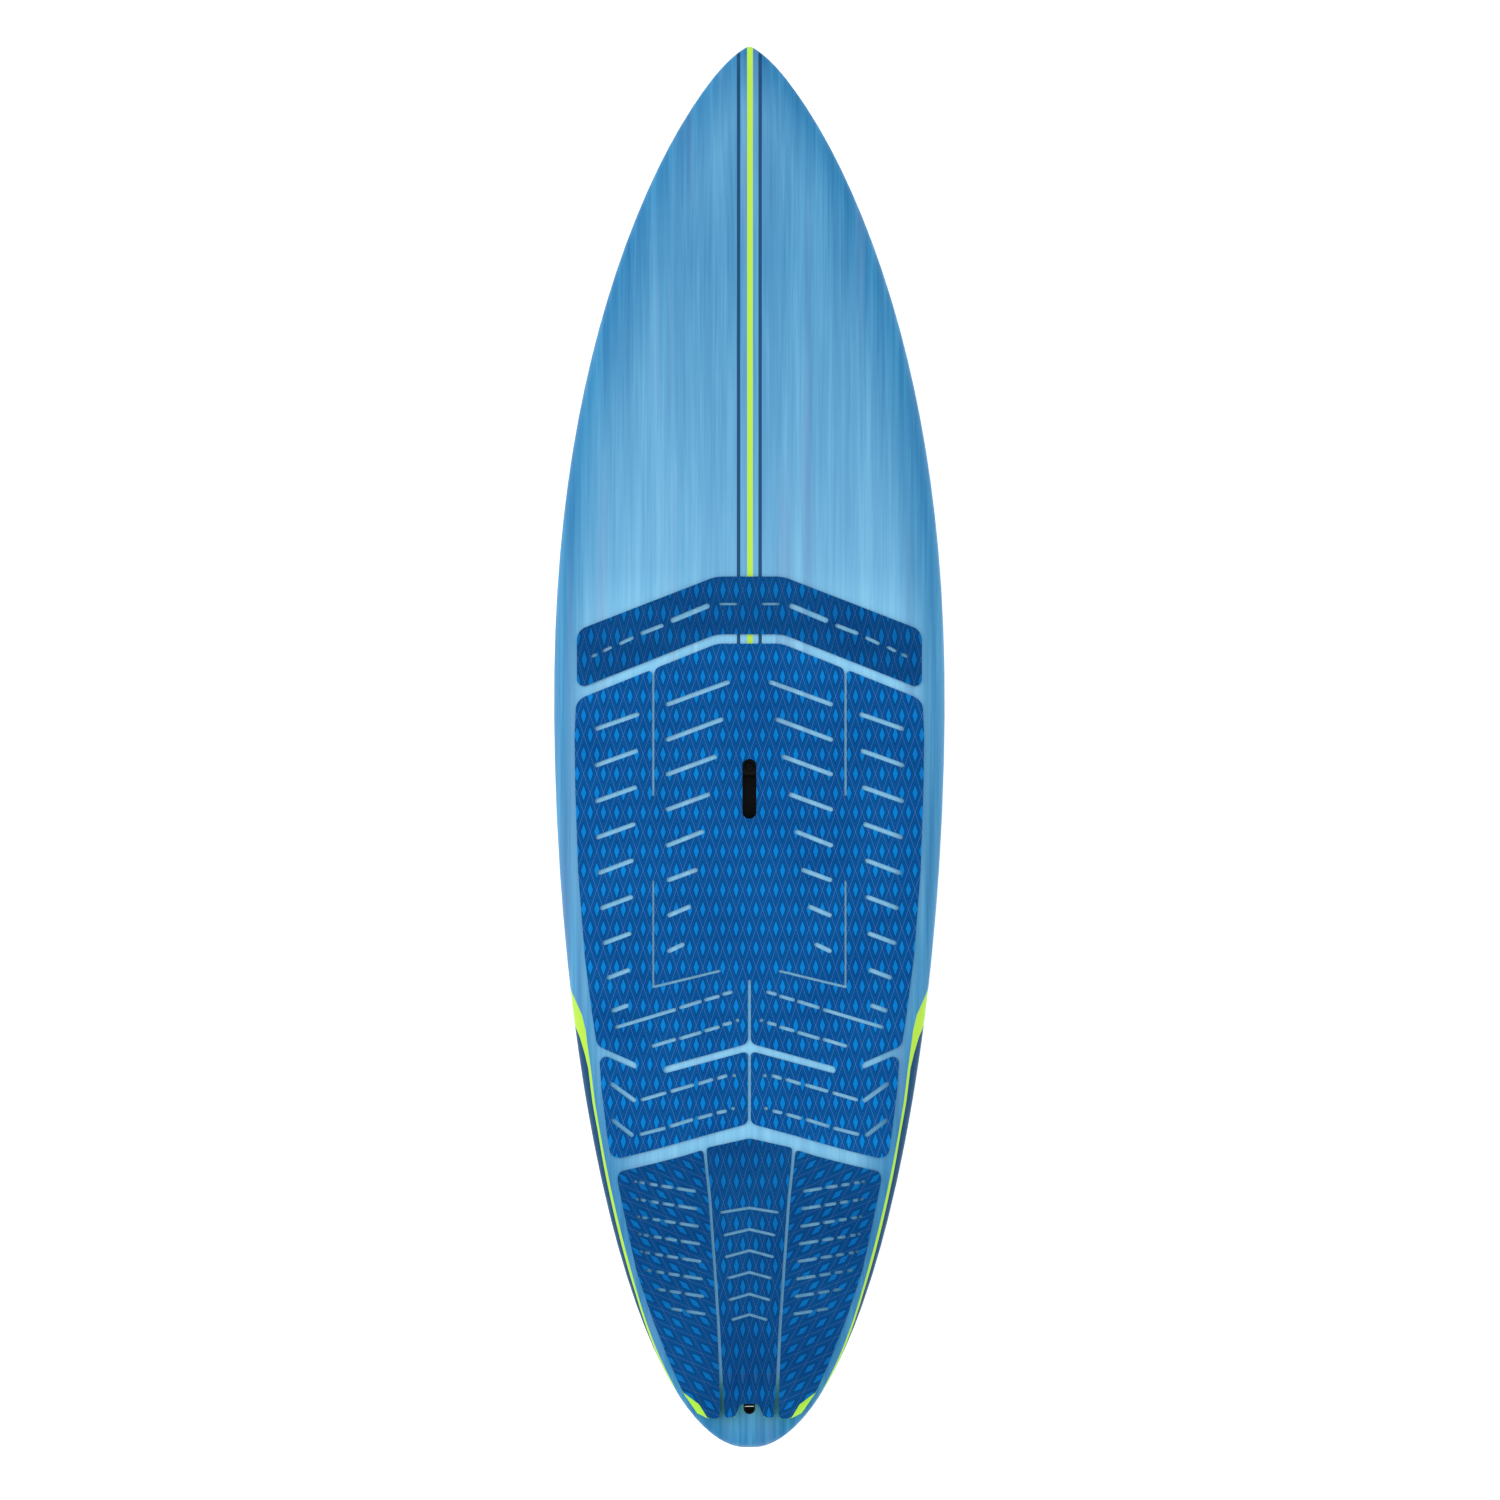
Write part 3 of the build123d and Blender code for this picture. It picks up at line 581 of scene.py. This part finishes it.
side_slots = [(215, -522, 180, -547), (213, -579, 184, -601)]
main_slots = [(*slot, 7.2) for slot in outer_slots + inner_slots + side_slots]
main_slots += [(*slot, 5.8) for slot in row_slots]
main_slots += [(150, -205, 150, -370, 3.2)]
corner_slots = [(150, -370, 47, -345, 4)]
MOUTH = (0, -96.6, 0, -25.4, 22.4)
pad_sheet(
    "main_pad", both_sides(main_half), (20.7, 60.4), 0, (0, -67.6), 8,
    [main_slots + [MOUTH] + mirrored(corner_slots), mirrored(main_slots) + corner_slots],
    shading=PALER,
)

# The tail's middle sheet has six shallow chevrons, and its sides have eight rows of slots each.
centre_half = [(0, -606), (67, -621), (64.8, -650), (59.4, -700), (52.4, -800), (45.7, -900)]
centre_half += [(42, -975), (38.6, -1036), (37, -1040), (23.4, -1040), (13.5, -1019), (0, -1019)]
chevrons = [(-714.5, 43.5, -721.5), (-748, 38.5, -757), (-781, 36.5, -791)]
chevrons += [(-815, 32.5, -824), (-849, 30.5, -858), (-881, 26, -889)]
chevrons = [(0, apex, end_x, end_y, 4.8) for apex, end_x, end_y in chevrons]
pad_sheet(
    "tail_pad_centre", both_sides(centre_half), (20.2, 66), 0, (0, -640), 4,
    [chevrons, mirrored(chevrons)], lift=1,
)

side_half = [(72, -624), (69.5, -650), (64, -700), (57, -800), (50.3, -900), (47, -980)]
side_half += [(45.6, -1036), (48.6, -1042), (65, -1041.7), (78.3, -1020), (104, -1002)]
side_half += [(124.6, -957), (151.6, -888), (176, -815), (190.6, -749), (206.5, -670)]
side_half += [(203, -659), (154, -647), (104, -634)]
ROW_PITCH = 27.4
ROW_SLOPE = 0.155
DASHES = [(0, 26), (36, 50), (60, 68.5), (80, 84.5), (92, 92.5)]
tail_slots = []
for row in range(8):
    start_y = -688.5 - ROW_PITCH * row
    inner = 85.6 - 2.1 * row
    for begin, end in DASHES[: min(5, 9 - row)]:
        tail_slots.append(
            (inner + begin, start_y + ROW_SLOPE * begin, inner + end, start_y + ROW_SLOPE * end, 5.4)
        )
for side, name in ((1, "tail_pad_right"), (-1, "tail_pad_left")):
    outline = [(side * x, y) for x, y in side_half]
    slots = tail_slots if side > 0 else mirrored(tail_slots)
    pad_sheet(name, outline, (20.7, 60.4), -48.7 * side, (side * 110, -800), 6, [slots], lift=1)

# ---- Arch kick
# Three blocks of bright lime EVA under the tail sheets, skived so that they rise from nothing.
# The outer ones carry on past the blue sheet at the rear corner, where they are bevelled down.

LIME_FOAM = ("#A2E238", "#B8F04E")
lime = pressed_foam("lime EVA foam", LIME_FOAM)
KICK_FRONT_Y = -976
KICK_STEP = 4.2  # the blocks follow the arch in steps of this length
KICK_STEPS = 16
CORNER_FOOT = 0.003
paint_node("kick_wedge_centre", lime)
block_half = [(47.2, -976), (47, -980), (45.6, -1036), (48.6, -1042), (65, -1041.7)]
block_half += [(78.3, -1020), (104, -1002), (115.9, -976)]
corner_half = [(65, -1041.7), (81.6, -1036), (104, -1002), (78.3, -1020)]
for side, name in ((1, "kick_wedge_right"), (-1, "kick_wedge_left")):
    shape = bmesh.new()
    corners = [shape.verts.new((side * x / 1000, y / 1000, 0)) for x, y in block_half]
    shape.faces.new(corners)
    for step in range(1, KICK_STEPS):
        across = Vector((0, (KICK_FRONT_Y - KICK_STEP * step) / 1000, 0))
        parts = shape.verts[:] + shape.edges[:] + shape.faces[:]
        bmesh.ops.bisect_plane(shape, geom=parts, plane_co=across, plane_no=(0, 1, 0))
    extrude_up(shape, shape.faces[:], PAD)
    for vertex in shape.verts:
        x, y, high = vertex.co
        vertex.co.z = deck_height(x, y) + (kick_lift(y) if high > 0 else 0) + GLUE
    corner = [shape.verts.new((side * x / 1000, y / 1000, 0)) for x, y in corner_half]
    base = shape.faces.new(corner)
    grown = bmesh.ops.extrude_face_region(shape, geom=[base], use_keep_orig=True)["geom"]
    tops = [part for part in grown if isinstance(part, bmesh.types.BMVert)]
    for vertex in tops + corner:
        x, y, _ = vertex.co
        foot = abs(x - side * corner_half[1][0] / 1000) < 1e-4
        high = (CORNER_FOOT if foot else kick_lift(y) + PAD) if vertex in tops else 0
        vertex.co.z = deck_height(x, y) + high + GLUE
    bmesh.ops.recalc_face_normals(shape, faces=shape.faces)
    wedge = new_piece(f"{name}_foam", shape, [lime])
    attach(wedge, "board")
    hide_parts(name)

# ---- Studio
# A plain pale sweep under soft overhead light, and a long lens straight above the board.

floor_shape = bmesh.new()
bmesh.ops.create_grid(floor_shape, x_segments=1, y_segments=1, size=20)
floor_paint, floor_tree, floor_shader = new_material("matt white studio floor", Roughness=0.9)
floor_shader.inputs["Base Color"].default_value = linear("#FAFAFA")
floor_shader.inputs["Emission Color"].default_value = (1, 1, 1, 1)
floor_shader.inputs["Emission Strength"].default_value = 0.5  # lit from below, like a light table
floor = new_piece("floor", floor_shape, [floor_paint])

sky = bpy.data.worlds.new("soft white studio")
bpy.context.scene.world = sky
sky.use_nodes = True
sky.node_tree.nodes["Background"].inputs["Color"].default_value = (1, 1, 1, 1)
sky.node_tree.nodes["Background"].inputs["Strength"].default_value = 0.62


def soft_light(name, place, spread, power):
    """A very large lamp far off, seen from the board as a disc of that many degrees."""
    lamp = bpy.data.lights.new(name, "SUN")
    lamp.angle, lamp.energy = math.radians(spread), power
    holder = bpy.data.objects.new(name, lamp)
    bpy.context.scene.collection.objects.link(holder)
    holder.location = place
    holder.rotation_mode = "QUATERNION"
    holder.rotation_quaternion = (-Vector(place)).to_track_quat("-Z", "Y")


soft_light("overhead", (-0.4, 0.5, 5.0), 60, 1.0)
soft_light("key", (-4.0, 1.0, 4.0), 40, 0.45)

lens = bpy.data.cameras.new("camera")
lens.lens, lens.sensor_width, lens.clip_end = 200.0, 36.0, 100.0
camera = bpy.data.objects.new("camera", lens)
bpy.context.scene.collection.objects.link(camera)
camera.location = (0.001, -0.0004, 13.18)
bpy.context.scene.camera = camera
bpy.context.scene.view_settings.view_transform = "Standard"
